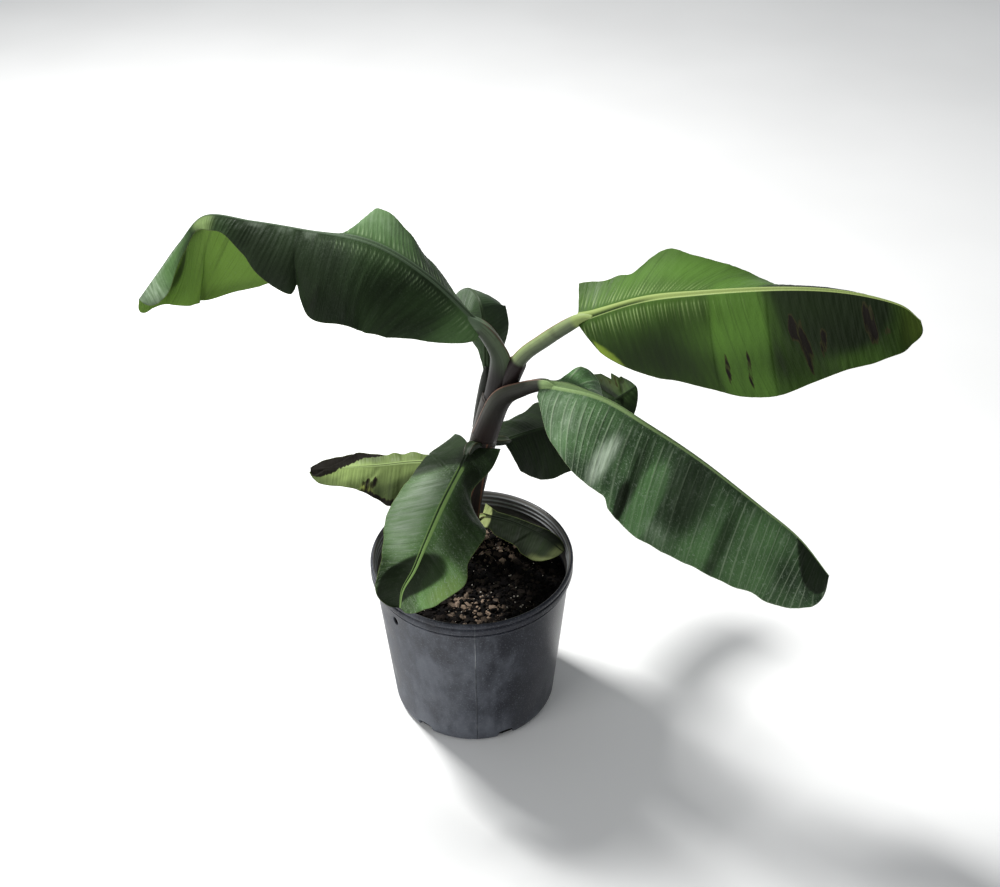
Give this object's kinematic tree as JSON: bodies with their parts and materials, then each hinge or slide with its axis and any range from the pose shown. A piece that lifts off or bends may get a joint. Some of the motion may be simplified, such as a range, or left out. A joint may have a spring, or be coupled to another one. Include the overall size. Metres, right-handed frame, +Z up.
{
  "type": "banana plant in a nursery pot",
  "caption": "Young banana plant with a leaning pseudostem and broad arching leaves, growing in a round tapered nursery pot.",
  "frame": {"origin": "centre of the flat underside of the pot", "axes": "+Z up, +X to the right of the view, along the plant's widest spread, +Y away from the viewer"},
  "size_m": [0.8994, 0.4844, 0.7622],
  "materials": {
    "pot_plastic": "satin, dusty",
    "bark_mix": "rough",
    "sheath": "satin",
    "petiole_green": "satin",
    "blade_green": "satin"
  },
  "bodies": {
    "root": {"pot": "pot_plastic", "soil": "bark_mix", "stem": "sheath", "petiole_upper_left": "petiole_green", "petiole_upper_right": "petiole_green", "petiole_lower_right": "petiole_green", "petiole_back": "petiole_green", "petiole_back_right": "petiole_green", "petiole_front": "petiole_green", "petiole_low_left": "petiole_green", "petiole_in_pot": "petiole_green", "blade_upper_left": "blade_green", "blade_upper_left_tip": "blade_green", "blade_upper_right": "blade_green", "blade_lower_right": "blade_green", "blade_back": "blade_green", "blade_back_right": "blade_green", "blade_front": "blade_green", "blade_low_left": "blade_green", "blade_in_pot": "blade_green"}
  },
  "joints": []
}
